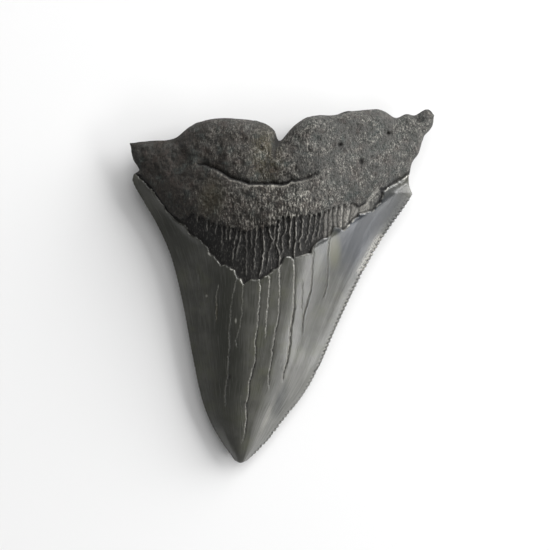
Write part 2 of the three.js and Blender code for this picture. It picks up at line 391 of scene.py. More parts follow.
def profile(run, at):
    """The values at some places on a smooth run of (place, value) points."""
    places, values = smooth_line(run).T
    return np.interp(at, places, values)


def crown_form(grid):
    left_of_ridge = 1 - grid.u / RIDGE_SHARE
    right_of_ridge = (grid.u - RIDGE_SHARE) / (1 - RIDGE_SHARE)
    from_ridge = np.where(grid.u < RIDGE_SHARE, left_of_ridge, right_of_ridge)
    dome = (profile(CROWN_RIDGE, grid.y) - BEVEL_LIFT) * (1 - from_ridge**2) ** CROWN_SECTION_POWER
    return dome + BEVEL_LIFT * (1 - np.exp(-grid.cutting_edge / BEVEL_REACH))


# Each run of wobbles, as height, size and seed.
LIP_WOBBLES = [(0.22, 0.8, 36), (0.25, 2.3, 37)]
CRACK_WOBBLES = [(0.14, 1.7, 11), (0.1, 0.6, 12)]
RIB_WOBBLES = [(0.15, 1.7, 22), (0.15, 0.7, 23)]


def wobble(place, wobbles, line=0):
    """How far a numbered line strays at places along it."""
    return sum(height * noise(place / size, place * 0 + line, seed) for height, size, seed in wobbles)


# The ledge: the hollow behind it, and the crevice and the rim along it as depth, distance and width.
LIP_FADE_IN = (0, 0.15)
LIP_FADE_OUT = (0, 0.3)
HOLLOW_DEPTH = 2.3
HOLLOW_START = 0.5
HOLLOW_REACH = 3.0
LIP_CREVICE = (0.7, 0.4, 0.35)
LIP_RIM = (0.08, 0.6, 0.8)


def lip_place(grid):
    return nearest_on(smooth_line(LIP, 6), grid.x, grid.y + wobble(grid.x, LIP_WOBBLES))


def lip_hollow(grid):
    """The ledge across the root, the crevice along its foot and the hollow behind it."""
    distance, share, side = lip_place(grid)
    ends = np.sqrt(ease(*LIP_FADE_IN, share) * ease(*LIP_FADE_OUT, 1 - share))
    hollow = HOLLOW_DEPTH * ease(0, HOLLOW_START, distance) * np.exp(-distance / HOLLOW_REACH)
    crevice, rim = (depth * bell(distance - off, width) for depth, off, width in (LIP_CREVICE, LIP_RIM))
    return ends * np.where(side > 0, hollow + crevice, -rim)


# The cleft from the notch loses most of its depth on its way down.
CLEFT_DEPTH = 3.2
CLEFT_LOSS = 0.7
CLEFT_WIDTH = 2.0
VALLEY_DEPTH = 1.5
VALLEY_WIDTH = 6


def fold_hollow(grid):
    """A narrow cleft from the notch, in a broad valley between the lobes."""
    distance, share, _ = nearest_on(smooth_line(FOLD, 6), grid.x, grid.y)
    cleft = CLEFT_DEPTH * (1 - CLEFT_LOSS * share) * bell(distance, CLEFT_WIDTH)
    return np.maximum(cleft, VALLEY_DEPTH * bell(distance, VALLEY_WIDTH))


STEP_DEPTH = 0.8
STEP_FADE = 0.25
STEP_WIDTH = 2.0
STEP_REACH = 7


def wing_step(grid):
    """The left lobe ends in a low step down to the flat wing beside it."""
    distance, share, side = nearest_on(smooth_line(WING_STEP, 6), grid.x, grid.y)
    step = ease(0, STEP_WIDTH, distance) * bell(distance, STEP_REACH)
    return STEP_DEPTH * ease(0, STEP_FADE, 1 - share) * np.where(side < 0, step, 0)


# The root's top falls between these y, and its walls turn steep between these distances from the middle.
ROOT_TOP_Y = (24, 42)
LOBE_TIP_X = (26, 37)
# How far before and after the root's margin the crown turns into the root.
CROWN_TO_ROOT = (-1.8, 7.5)


def crest_height(x):
    height = ROOT_CREST_Z
    falls = ((ROOT_CREST_X - x, ROOT_FALL_LEFT), (x - ROOT_CREST_X, ROOT_FALL_RIGHT))
    for away, (drop, reach, power) in falls:
        height = height - drop * (np.clip(away, 0, None) / reach) ** power
    return height


def root_form(grid):
    x, y = grid.x, grid.y
    height = (crest_height(x) - grid.seam_z) * (1 - ROOT_TOP_FALL * ease(*ROOT_TOP_Y, y))
    for swell, *place in SWELLINGS:
        height = height + swell * mound(x, y, *place)
    height = height - lip_hollow(grid) - fold_hollow(grid) - wing_step(grid)
    radius = mix(ROOT_WALL_RADIUS, LOBE_TIP_WALL_RADIUS, ease(*LOBE_TIP_X, np.abs(x)))
    return height * wall(grid.root_edge, radius)


def lingual_form(grid):
    root_share = ease(*CROWN_TO_ROOT, signed_distance(ROOT_MARGIN, grid.x, grid.y))
    return mix(crown_form(grid), root_form(grid), root_share)


# Cracks in the enamel from left to right, each a run of (x, y) points from the top down, with how light its
# left wall is (partly a painted highlight) and how dark its groove is (partly painted shade).
CRACKS = [
    ([(-20.6, 3), (-20.4, -4), (-20, -9)], 0.1, 0.05),
    ([(-15.6, 0.4), (-16, -2.8), (-16.1, -5.7), (-16, -8.9)], 0.55, 0.1),
    ([(-11.1, 2.1), (-11.7, -0.9), (-12.4, -4.1), (-12.7, -9.4), (-12.9, -13.7), (-13.1, -19.5),
      (-13.6, -23.2), (-14, -27.5), (-14.1, -30.7)], 0.42, 0.35),
    ([(-9.3, 1), (-9.6, -2), (-9.7, -6.8), (-10.5, -10.5), (-11.2, -13.4), (-11.1, -15.5)], 0.35, 0.25),
    ([(-5.7, 2.8), (-5.2, 0.3), (-5.7, -6.8), (-6.5, -14.8), (-6.5, -18.4), (-7.1, -20.3), (-7.9, -23.3),
      (-8, -25.9), (-8.8, -29.6), (-8.8, -31.8), (-9.3, -36.3), (-10.1, -39.8)], 0.85, 0.95),
    ([(-3.4, 3.1), (-2.9, 2.2), (-3.1, -1.4), (-3.6, -8.1), (-4.1, -13.4)], 0.75, 0.3),
    ([(-0.6, 5), (-0.5, 2.3), (-0.4, -2.2), (-0.9, -8.1), (-1.6, -11.6), (-2.1, -14.8), (-2.6, -18.4),
      (-3, -21.9), (-3.1, -26.4)], 0.65, 0.75),
    ([(3, 7.3), (3.2, -0.1), (2.8, -6.8), (2.1, -11.6), (2, -14.8), (1.2, -18.4), (0.4, -21.9),
      (0.2, -24)], 0.8, 0.95),
    ([(5.2, 1.5), (4.9, -2.4), (5, -6)], 0.15, 0.3),
    ([(7.8, 10.2), (7.6, 4.2), (7.1, -1.2), (5.9, -5), (5.3, -8.7), (5, -12.5)], 0.25, 0.6),
    ([(12, 12.6), (11.5, 8), (11.4, 2.9), (11.1, 0.3), (10.3, -3.4)], 0.15, 0.55),
]
LINES_TO_A_VECTOR = 3
CRACK_VECTORS = math.ceil(len(CRACKS) / LINES_TO_A_VECTOR)
FAR = 2.0
# How strongly the enamel's broken upper rim is painted pale, as (x, strength): partly a painted highlight
# where its step faces the light.
RIM_STRENGTH = [
    (-38, 0.1), (-30, 0.25), (-20, 0.35), (-15.5, 0.9), (-10, 0.9), (-9, 0.3), (-7, 0.15), (-5, 0.5),
    (1, 0.5), (3, 0.3), (12, 0.3), (15.5, 0.5), (16.5, 1), (17.6, 1), (18.5, 0.4), (25, 0.5), (27, 1),
    (34, 1),
]
# The neck band's ribs from left to right, each a run of (x, y) points from the top down and how light it is.
RIBS = [
    ([(-20.9, 18.3), (-20.9, 16.1)], 0.8),
    ([(-18.4, 17.6), (-18.5, 14)], 1),
    ([(-17.4, 17), (-17.5, 14.5)], 0.8),
    ([(-16.1, 16), (-16.2, 13.2)], 0.6),
    ([(-14.7, 15.4), (-14.7, 9)], 0.5),
    ([(-13.5, 14.8), (-13.5, 11.5)], 0.7),
    ([(-12.6, 15), (-12.7, 11.5)], 0.7),
    ([(-10.8, 14.2), (-11.5, 11.2), (-12, 8.8), (-12.1, 6.3)], 0.6),
    ([(-9.9, 13.4), (-10.8, 9.4), (-11.1, 7.3)], 0.5),
    ([(-8.7, 14), (-8.5, 12), (-8.7, 8.8), (-8.7, 3)], 0.35),
    ([(-7.5, 14), (-7.5, 9.4)], 0.5),
    ([(-5.8, 14.2), (-6.4, 11.2), (-6.7, 8.8), (-6.6, 4.5)], 0.55),
    ([(-4.5, 15), (-4.3, 10.6), (-4.6, 7.6), (-4.9, 4.6), (-5.4, 2.8)], 0.95),
    ([(-3, 14.6), (-2.2, 11.2), (-2.8, 8.8), (-3.2, 5.5)], 0.75),
    ([(-1.5, 15.2), (-1.8, 12.4), (-1.9, 10.5)], 0.55),
    ([(-0.3, 17.2), (-0.7, 13.6), (-1.2, 10.6), (-0.4, 7.6), (-0.6, 5)], 0.85),
    ([(0.9, 17.2), (0.9, 13.6), (0.2, 12.1), (0.3, 8.6)], 0.6),
    ([(2.4, 17.4), (2.3, 14.8), (2, 12.2), (1.8, 9.6)], 0.85),
    ([(3.6, 17.4), (3.3, 13.6), (3.5, 11.2), (3, 8.2), (3.2, 6.6)], 1),
    ([(5.3, 17.6), (5.1, 13), (4.5, 11.2), (4.6, 9)], 0.7),
    ([(7.1, 17.8), (6.6, 13.6), (6, 11.2)], 0.65),
    ([(8.6, 18.2), (8.1, 13.9), (7.6, 11.2)], 0.6),
    ([(9.7, 18.4), (9.3, 14.8), (9, 12)], 0.55),
    ([(10.9, 19), (10.7, 11)], 0.6),
    ([(12, 19.6), (11.8, 11)], 0.75),
    ([(13.2, 20.2), (12.9, 12)], 0.9),
    ([(14.5, 20.6), (14.2, 13)], 1),
    ([(16.2, 21), (15.8, 13.5)], 0.9),
    ([(18, 20.6), (17.6, 15)], 0.6),
    ([(20.4, 20.4), (19.8, 16)], 0.5),
]
# Ribs are thin lines at the left, and turn into plates that nearly touch around this x.
THIN_RIB = 0.2
PLATE_SHARE = 0.42
PLATES_X = (9, 11)
RIB_WIDTHS = (0.05, 0.45)
RIB_FOOT_FADE = 0.5
RIB_TOP_FADE = (0.3, 1.2)
# Pits in the bone, as depth, x, y, half width and half length. Their depth is also painted dark as shade.
PITS = [
    (1.3, 14.4, 35.1, 0.46, 0.46), (1.1, 26.4, 38.1, 0.42, 0.42), (0.9, 19.6, 31, 0.6, 0.6),
    (0.7, 34, 41.6, 0.9, 0.9),
]


# How far below its top a crack's light wall fades and its dark groove deepens, and the least of each.
CRACK_START = (-0.5, 0.2)
CRACK_END = 0.12
WALL_FADE = (1, 4.5)
LEAST_WALL = 0.55
GROOVE_GROWTH = (6, 16)
LEAST_GROOVE = 0.35


def crack_fields(grid):
    """Each crack's distance, positive to its right, and the light and dark strengths of the nearest one."""
    distances = []
    strengths = []
    for number, (points, light, dark) in enumerate(CRACKS):
        strayed = grid.x + wobble(grid.y, CRACK_WOBBLES, number)
        distance, share, side = nearest_on(smooth_line(points, 4), strayed, grid.y)
        below_top = points[0][1] - grid.y
        present = ease(0, CRACK_END, 1 - share) * ease(*CRACK_START, below_top)
        wall = light * mix(1, LEAST_WALL, ease(*WALL_FADE, below_top))
        groove = dark * mix(LEAST_GROOVE, 1, ease(*GROOVE_GROWTH, below_top))
        distances.append(np.minimum(distance, FAR) * np.where(side < 0, -1, 1))
        strengths.append((wall * present, groove * present))
    nearest = np.argmin(np.abs(distances), axis=0)[None]
    light, dark = np.take_along_axis(np.moveaxis(np.array(strengths), 1, 0), nearest[None], axis=1)[:, 0]
    return distances, light, dark


def rib_field(grid):
    """A number that grows by one from rib to rib, half a rib's width in ribs, and the rib's lightness."""
    x, y = grid.x, grid.y
    middles = []
    for number, (points, _) in enumerate(RIBS):
        xs, ys = np.transpose(points)
        middles.append(np.interp(-y, -ys, xs) + wobble(y, RIB_WOBBLES, number))
    middles = np.sort(middles, axis=0)
    lower = np.clip((middles <= x).sum(0) - 1, 0, len(RIBS) - 2)
    low, high = (np.take_along_axis(middles, (lower + step)[None], axis=0)[0] for step in (0, 1))
    gap = high - low
    rib = lower + (x - low) / gap
    half_width = mix(THIN_RIB / gap, PLATE_SHARE, ease(*PLATES_X, x))
    light = np.array([light for _, light in RIBS])
    tops = np.array([points[0][1] for points, _ in RIBS])
    feet = np.array([points[-1][1] for points, _ in RIBS])
    nearest = np.clip(np.round(rib).astype(int), 0, len(RIBS) - 1)
    above_foot = ease(-RIB_FOOT_FADE, RIB_FOOT_FADE, y - feet[nearest])
    below_top = 1 - ease(*RIB_TOP_FADE, y - tops[nearest])
    present = (np.abs(rib - nearest) <= 0.5) * above_foot * below_top
    return rib, np.clip(half_width, *RIB_WIDTHS), light[nearest] * present


# The borders between the zones: how far they reach around their lines, and the fringe of ribs below the bone.
NECK_BORDER = (-0.15, 0.15)
BONE_BORDER = (-0.2, 0.25)
FRINGE_DEPTH = 1.4
FRINGE_START = 0.3
FRINGE_LEFT_X = (-24, -22)
FRINGE_RIGHT_X = (19, 17)
# Textures, as height, width, length and seed. The bone is calmer at the right.
ENAMEL_LINE_NOISE = (0.25, 0.7, 0.7, 31)
BONE_LINE_NOISE = (0.25, 0.9, 0.9, 33)
RIM_NOISE = (1, 1.1, 1.1, 35)
LUMPS = (0.2, 2, 2.4, 42)
PORES = (1, 0.85, 0.95, 48)
FIBRES = (0.16, 0.5, 2.2, 47)
FLUTES = (0.035, 1 / 22, 25, 51)
# Textures in several sizes, as height, size and seed.
SWELLS = (0.34, 6, 41)
GRAIN = (0.2, 1.1, 44)
CALM_X = (0, 12)
CALM = 0.55
PORE_DEPTH = 0.25
PORE_NOISE = (0.25, 0.8)
RIM_BREAKS = (-0.3, 0.4)
FIBRE_PLACE = (-2, 20.5, 14, 5)
# Heights of the zones above the crown's own form, and the cracks' groove.
NECK_DROP = 0.45
BONE_LIFT = 0.45
RIB_HEIGHT = 0.75
BAND_DROP = 0.38
GROOVE_DEPTH = 0.09
GROOVE_OFFSET = 0.1
GROOVE_WIDTH = 0.24
# Relief starts this far inside the seam. Nicks are painted shade on the right edge between the serrations.
RELIEF_INSIDE = (0.1, 1.6)
NICK_STRENGTH = 1.2
NICK_INSIDE = 0.2
NICK_REACH = 0.5
LIP_LINE_IN = (0, 0.05)
LIP_LINE_OUT = (0, 0.25)


def lingual_zones(grid, ribs):
    """The distances to the enamel's and the bone's borders, and the shares of neck and of bone."""
    x, y = grid.x, grid.y
    to_enamel = signed_distance(ENAMEL_EDGE, x, y) + texture(x, y, *ENAMEL_LINE_NOISE)
    fringe_place = ease(*FRINGE_RIGHT_X, x) * ease(*FRINGE_LEFT_X, x)
    fringe = (FRINGE_DEPTH * ribs - FRINGE_START) * fringe_place
    to_bone = signed_distance(BONE_EDGE, x, y) + fringe + texture(x, y, *BONE_LINE_NOISE)
    neck = ease(*NECK_BORDER, to_enamel)
    return to_enamel, to_bone, neck, ease(*BONE_BORDER, to_bone) * neck


def bone_texture(x, y):
    lumps = fractal(x, y, *SWELLS) + texture(x, y, *LUMPS) + fractal(x, y, *GRAIN)
    pores = PORE_DEPTH * ease(*PORE_NOISE, texture(x, y, *PORES))
    fibres = texture(x, y, *FIBRES) * mound(x, y, *FIBRE_PLACE)
    return mix(1, CALM, ease(*CALM_X, x)) * (lumps - pores) + fibres


def pit_depths(x, y):
    return np.max([depth * mound(x, y, *place) for depth, *place in PITS], axis=0)


def nick_field(grid):
    rows = np.clip(-NICK_STRENGTH * grid.serrated / RIGHT_SERRATION[0], 0, 1)[:, None]
    return rows * bell(grid.from_right - NICK_INSIDE, NICK_REACH)


def lingual_face(grid):
    """Heights of the lingual face and the fields that colour it."""
    x, y = grid.x, grid.y
    rib, rib_width, rib_light = rib_field(grid)
    ribs = rib_light * np.clip(1 - np.abs(rib - np.round(rib)) / np.clip(2 * rib_width, 0, 0.5), 0, 1)
    to_enamel, to_bone, neck, bone = lingual_zones(grid, ribs)
    distances, crack_light, crack_dark = crack_fields(grid)
    groove = np.max([bell(distance - GROOVE_OFFSET, GROOVE_WIDTH) for distance in distances], axis=0)
    groove = GROOVE_DEPTH * groove * np.maximum(crack_dark, crack_light / 2)
    band = neck * (1 - bone)
    relief = bone * (BONE_LIFT + bone_texture(x, y)) + band * (RIB_HEIGHT * ribs - BAND_DROP)
    relief = relief + (1 - neck) * (texture(grid.u, y, *FLUTES) - groove) - NECK_DROP * neck
    pits = pit_depths(x, y)
    rise = lingual_form(grid) + (relief - pits) * ease(*RELIEF_INSIDE, grid.edge)
    height = np.where(grid.on_seam, grid.seam_z, grid.seam_z + np.maximum(THINNEST_EDGE, rise))
    rim = np.interp(x, *np.transpose(RIM_STRENGTH)) * ease(*RIM_BREAKS, texture(x, y, *RIM_NOISE))
    lip_distance, lip_share, lip_side = lip_place(grid)
    lip = ease(*LIP_LINE_IN, lip_share) * np.sqrt(ease(*LIP_LINE_OUT, 1 - lip_share))
    fields = dict(to_enamel=to_enamel, to_bone=to_bone, rim=rim, lip=lip, pit=pits, nick=nick_field(grid))
    fields.update(rib=rib, rib_width=rib_width, rib_light=rib_light, crack_light=crack_light)
    fields.update(crack_dark=crack_dark, to_lip=lip_distance * np.where(lip_side > 0, 1, -1))
    return height, fields, distances


# ---- the labial face

LABIAL_ENAMEL_EDGE = [
    (-37.5, 28.5), (-26, 24), (-12, 20), (-2, 18.5), (8, 20), (22, 23.5), (33, 25.5),
]
# The y between which the labial face's keel turns into the root's wall.
LABIAL_ROOT_Y = (14, 32)
# How softly the face turns into the flat patch that it rests on.
REST_SOFTNESS = 0.35
LABIAL_LINE_NOISE = (0.3, 1.1, 1.1, 61)
LABIAL_BORDER = (-0.4, 0.4)
LABIAL_INSIDE = (0.2, 1.8)
LABIAL_BONE_LIFT = 0.35
LABIAL_GRAIN = (0.3, 2.2, 63)
# Wrinkles in the enamel, most of all this far from its border.
WRINKLES = (0.12, 1, 5, 62)
WRINKLES_AWAY = 3
WRINKLES_REACH = 4


def labial_face(grid):
    """Heights of the labial face, which rests on the ground, and the fields that colour it."""
    x, y = grid.x, grid.y
    middle = 1 - (2 * grid.u - 1) ** 2
    root = (1 - LABIAL_LOBE_LIFT * (1 - middle)) * wall(grid.root_edge, LABIAL_WALL_RADIUS)
    depth = profile(LABIAL_KEEL, y) * mix(middle, root, ease(*LABIAL_ROOT_Y, y))
    lowest = grid.seam_z - np.maximum(THINNEST_EDGE, depth)
    rounded = REST_SOFTNESS * np.logaddexp(0, lowest / REST_SOFTNESS)
    to_enamel = signed_distance(LABIAL_ENAMEL_EDGE, x, y) + texture(x, y, *LABIAL_LINE_NOISE)
    bone = ease(*LABIAL_BORDER, to_enamel)
    wrinkles = texture(x, y, *WRINKLES) * bell(to_enamel + WRINKLES_AWAY, WRINKLES_REACH)
    rough = LABIAL_BONE_LIFT + fractal(x, y, *LABIAL_GRAIN)
    relief = ease(*LABIAL_INSIDE, grid.edge) * mix(wrinkles, rough, bone)
    height = np.minimum(np.maximum(0, rounded + relief), grid.seam_z - THINNEST_EDGE / 2)
    none = np.zeros(x.shape)
    unused = ("rim", "rib", "rib_light", "crack_light", "crack_dark", "lip", "pit", "nick")
    fields = dict.fromkeys(unused, none)
    fields.update(to_enamel=to_enamel, to_bone=to_enamel, to_lip=none + FAR, rib_width=none + THIN_RIB)
    return np.where(grid.on_seam, grid.seam_z, height), fields


# ---- the mesh

STRANDS_ACROSS = 44
LINGUAL_UV_WIDTH = 0.66
LABIAL_UV_START = 0.68


def build_mesh(grid):
    """Joins the two faces into one closed mesh with its fields, its bake map and a sharp cutting edge."""
    lingual_z, lingual_fields, crack_distances = lingual_face(grid)
    labial_z, labial_fields = labial_face(grid)
    stride = COLUMNS + 1
    lingual_ids = np.arange((ROWS + 1) * stride).reshape(ROWS + 1, stride)
    inner = np.zeros(grid.x.shape, bool)
    inner[LABIAL_STEP:-1:LABIAL_STEP, LABIAL_STEP:-1:LABIAL_STEP] = True
    labial_ids = lingual_ids.copy()
    labial_ids[inner] = lingual_ids.size + np.arange(inner.sum())

    def all_points(lingual, labial):
        return np.concatenate([lingual.ravel(), labial[inner]])

    heights = all_points(lingual_z, labial_z)
    positions = np.stack([all_points(grid.x, grid.x), all_points(grid.y, grid.y), heights], -1) * millimetre

    faces = []
    patch_places = []
    shares = np.stack([grid.u, grid.v], -1)
    for row in range(ROWS):
        for column in range(COLUMNS):
            corners = [(row, column), (row, column + 1), (row + 1, column + 1), (row + 1, column)]
            faces.append([lingual_ids[corner] for corner in corners])
            patch_places.extend(shares[corner] * (LINGUAL_UV_WIDTH, 1) for corner in corners)
    for row in range(0, ROWS, LABIAL_STEP):
        for column in range(0, COLUMNS, LABIAL_STEP):
            corners = labial_corners(grid, row, column)
            faces.append([labial_ids[corner] for corner in corners])
            scale = (1 - LABIAL_UV_START, 1)
            patch_places.extend(shares[corner] * scale + (LABIAL_UV_START, 0) for corner in corners)

    mesh = bpy.data.meshes.new("fossil_tooth")
    mesh.from_pydata(positions, [], faces)
    mesh.shade_smooth()
    bake_map = mesh.uv_layers.new(name="OFBake")
    bake_map.uv.foreach_set("vector", np.asarray(patch_places, np.float32).ravel())
    for name, lingual in lingual_fields.items():
        store_field(mesh, name, "FLOAT", all_points(lingual, labial_fields[name]))
    across = all_points(grid.u, grid.u) * STRANDS_ACROSS
    strands = np.stack([across, all_points(grid.y, grid.y), heights * 0], -1)
    store_field(mesh, "strand", "FLOAT_VECTOR", strands)
    nowhere = np.full(grid.x.shape, FAR)
    lines = [all_points(distance, nowhere) for distance in crack_distances]
    lines += [heights * 0 + FAR] * (CRACK_VECTORS * LINES_TO_A_VECTOR - len(lines))
    for group in range(CRACK_VECTORS):
        first = group * LINES_TO_A_VECTOR
        vectors = np.stack(lines[first : first + LINES_TO_A_VECTOR], -1)
        store_field(mesh, f"cracks_{group}", "FLOAT_VECTOR", vectors)
    sharpen_cutting_edge(mesh, lingual_ids)
    mesh.update()
    return mesh


def store_field(mesh, name, kind, values):
    key = "value" if kind == "FLOAT" else "vector"
    flat = np.asarray(values, np.float32).ravel()
    mesh.attributes.new(name, kind, "POINT").data.foreach_set(key, flat)


# A labial cell's corners and the middles of its sides, as rows up and columns across, wound to face down.
CELL_RING = [(0, 0), (1, 0), (2, 0), (2, 1), (2, 2), (1, 2), (0, 2), (0, 1)]


def labial_corners(grid, row, column):
    """One labial cell's corners. A side on the seam keeps the seam's own point at its middle."""
    ring = [(row + up, column + over) for up, over in CELL_RING]
    return [corner for number, corner in enumerate(ring) if number % 2 == 0 or grid.on_seam[corner]]


def sharpen_cutting_edge(mesh, ids):
    edge_ids = np.concatenate([ids[0], ids[: CROWN_ROWS + 1, 0], ids[: CROWN_ROWS + 1, -1]])
    on_edge = np.zeros(len(mesh.vertices), bool)
    on_edge[edge_ids] = True
    ends = np.zeros(len(mesh.edges) * 2, int)
    mesh.edges.foreach_get("vertices", ends)
    sharp = on_edge[ends].reshape(-1, 2).all(1)
    mesh.attributes.new("sharp_edge", "BOOLEAN", "EDGE").data.foreach_set("value", sharp)


# ---- nodes

# A noise pattern: its scale and detail, and how its source's coordinates are stretched and then shifted.
Pattern = namedtuple(
    "Pattern", "scale detail stretch roughness source shift", defaults=((1, 1, 1), 0.55, "place", (0, 0, 0))
)
# A named value, mapped from low..high to start..end and held at the ends.
Span = namedtuple("Span", "value low high start end", defaults=(0, 1))
# How far a named value is from a middle, mapped the same way.
Line = namedtuple("Line", "value middle low high start end", defaults=(0, 1))
# A soft round patch: full at its middle, and gone from its radii outwards.
Spot = namedtuple("Spot", "middle radii strength", defaults=(1,))
SPOT_FADE = (1, 0.2)


# The fossil's material, and its sockets by name: coordinates, masks, noise patterns and mesh fields.
fossil_material = bpy.data.materials.new("fossil")
fossil_material.use_nodes = True
tree = fossil_material.node_tree
tree.nodes.clear()
named = {}


def add(kind, inputs=None, **settings):
    """A new node with its settings, its values and its links. A socket among the inputs is linked."""
    made = tree.nodes.new(kind)
    for name, value in settings.items():
        setattr(made, name, value)
    for socket, value in (inputs or {}).items():
        if isinstance(value, bpy.types.NodeSocket):
            tree.links.new(value, made.inputs[socket])
        else:
            made.inputs[socket].default_value = value
    return made


def attribute(name, output="Fac"):
    return add("ShaderNodeAttribute", attribute_name=name).outputs[output]


def separate(vector):
    return add("ShaderNodeSeparateXYZ", {0: vector}).outputs


def find(name):
    if name not in named:
        pattern = PATTERNS.get(name)
        named[name] = pattern_noise(pattern) if pattern else attribute(name)
    return named[name]


def pattern_noise(pattern):
    stretched = vector_maths("MULTIPLY", find(pattern.source), pattern.stretch)
    place = vector_maths("ADD", stretched, pattern.shift)
    inputs = {"Vector": place, "Scale": pattern.scale, "Detail": pattern.detail}
    inputs["Roughness"] = pattern.roughness
    return add("ShaderNodeTexNoise", inputs).outputs["Fac"]


def mixed(share, low, high):
    """A colour between two colours."""
    low, high = (c if isinstance(c, bpy.types.NodeSocket) else (*c, 1) for c in (low, high))
    return add("ShaderNodeMix", {0: share, 6: low, 7: high}, data_type="RGBA").outputs[2]


def maths(operation, first, second=0, clamp=False):
    return add("ShaderNodeMath", {0: first, 1: second}, operation=operation, use_clamp=clamp).outputs[0]


def vector_maths(operation, first, second=(0, 0, 0), output=0):
    return add("ShaderNodeVectorMath", {0: first, 1: second}, operation=operation).outputs[output]


def ramp(value, low, high, start=0, end=1, interpolation="LINEAR"):
    inputs = {"Value": value, "From Min": low, "From Max": high, "To Min": start, "To Max": end}
    return add("ShaderNodeMapRange", inputs, interpolation_type=interpolation).outputs[0]


def times(*factors):
    return reduce(partial(maths, "MULTIPLY"), factors)


def plus(*terms):
    return reduce(partial(maths, "ADD"), terms)


def part_socket(part):
    """The socket of one part of a mask: a named value, a Span, a Line or a Spot."""
    if isinstance(part, str):
        return find(part)
    if isinstance(part, Span):
        return ramp(find(part.value), *part[1:])
    if isinstance(part, Line):
        away = maths("ABSOLUTE", maths("SUBTRACT", find(part.value), part.middle))
        return ramp(away, *part[2:])
    offset = vector_maths("SUBTRACT", find("place"), (*part.middle, 0))
    scaled = vector_maths("MULTIPLY", offset, (1 / part.radii[0], 1 / part.radii[1], 0))
    reach = vector_maths("LENGTH", scaled, output="Value")
    return times(ramp(reach, *SPOT_FADE, interpolation="SMOOTHSTEP"), part.strength)


def mask(*parts):
    return times(*map(part_socket, parts))


def added(parts):
    return plus(*map(part_socket, parts))


def paint(colour, layers):
    """A colour under layers, each a list of its mask's parts and its own colour."""
    for parts, tint in layers:
        colour = mixed(mask(*parts), colour, tint)
    return colour


# ---- the material

ENAMEL_DARK = (0.046, 0.0465, 0.0395)
ENAMEL_LIGHT = (0.074, 0.0735, 0.065)
ENAMEL_STREAK = (0.1, 0.099, 0.092)
# A painted highlight on the low right flank.
ENAMEL_PAINTED_HIGHLIGHT = (0.2, 0.2, 0.19)
ENAMEL_OLIVE = (0.07, 0.074, 0.044)
# Bluish grey: partly the enamel's tint, partly a painted dark reflection on the right flank.
ENAMEL_BLUE_AND_REFLECTION = (0.017, 0.021, 0.027)
ENAMEL_MIST = (0.085, 0.092, 0.104)
ENAMEL_SHADE = (0.026, 0.027, 0.021)
BAND_VALLEY = (0.004, 0.0036, 0.0033)
BAND_FLOOR = (0.011, 0.0104, 0.0095)
BAND_STRIP = (0.094, 0.092, 0.084)
BAND_RIB = (0.27, 0.258, 0.235)
BONE_BROWN = (0.02, 0.0165, 0.0125)
BONE_GREY = (0.07, 0.0695, 0.0645)
# Pale bone specks, also used as a painted highlight on the ledge's rim.
BONE_SPECK_AND_HIGHLIGHT = (0.36, 0.345, 0.305)
BONE_TEAL = (0.036, 0.048, 0.045)
BONE_RUST = (0.06, 0.04, 0.033)
OCHRE = (0.034, 0.028, 0.011)
OLIVE_STAIN = (0.1, 0.098, 0.055)
# Pale mineral, also used as a painted highlight on the enamel's rim, the cracks' lit walls, the bone's edge
# and the low right flank.
PALE_MINERAL_AND_HIGHLIGHT = (0.4, 0.39, 0.35)
# Near black: painted shade in the ledge's hollow and crevice, the pits, the nicks, the fold and the cracks'
# grooves, and also the fossil's own dark specks.
SHADE_AND_DARK_SPECK = (0.012, 0.011, 0.01)

PATTERNS = {
    "blotches": Pattern(0.16, 3),
    "streaks": Pattern(1.5, 3, source="strand"),
    "olive": Pattern(0.22, 2, shift=(40, 0, 0)),
    "scratches": Pattern(5, 2, (1, 0.6, 0), source="strand"),
    "clouds": Pattern(0.55, 3, (1, 2.2, 0), source="strand"),
    "polish": Pattern(3, 3, source="strand"),
    "patches": Pattern(0.6, 3, (1, 0.4, 0)),
    "threads": Pattern(3.4, 3, (1, 0.28, 0), roughness=0.65),
    "rib_breaks": Pattern(1.9, 2, (1, 0.5, 0)),
    "grains": Pattern(1.6, 4, (1, 0.6, 0.6), roughness=0.7),
    "fine": Pattern(3.8, 2, (1, 0.6, 1), roughness=0.6),
    "mottle": Pattern(0.25, 3, roughness=0.6),
    "hue": Pattern(0.35, 3, shift=(0, 70, 0), roughness=0.6),
    "fibres": Pattern(2.4, 2, (1, 0.3, 0), roughness=0.6),
    "patchy": Pattern(0.32, 2),
    "crack_breaks": Pattern(1.6, 2),
    "crack_dots": Pattern(2.4, 2),
    "crack_shake": Pattern(2, 2, (1, 1.6, 0)),
    "rim_breaks": Pattern(1.1, 2),
}

# Each layer of a colour is the parts of its mask, which are multiplied, and its own colour.
ENAMEL_LAYERS = [
    ([Span("blotches", 0.38, 0.62)], ENAMEL_LIGHT),
    ([Span("streaks", 0.52, 0.72, 0, 0.5)], ENAMEL_STREAK),
    ([Span("olive", 0.5, 0.68, 0, 0.35)], ENAMEL_OLIVE),
    # Painted shade down the left middle of the crown and on its upper left.
    ([Spot((-13.5, -12), (6, 34), 0.85)], ENAMEL_SHADE),
    ([Spot((-26, 14), (8, 13), 0.7)], ENAMEL_SHADE),
    # Painted highlights on the low right flank: a broad band, and a thin line along the slant.
    ([Span("across", 26.5, 33.5), Span("y", -15, -27), Span("streaks", 0.4, 0.6, 0.7, 1)], ENAMEL_PAINTED_HIGHLIGHT),
    ([Line("slant", 9.9, 0.9, 0.1, 0, 0.3), Span("y", -39, -33), Span("y", -20, -25)], PALE_MINERAL_AND_HIGHLIGHT),
    ([Span("scratches", 0.54, 0.68, 0, 0.42)], ENAMEL_STREAK),
    ([Span("scratches", 0.46, 0.32, 0, 0.5)], ENAMEL_SHADE),
]
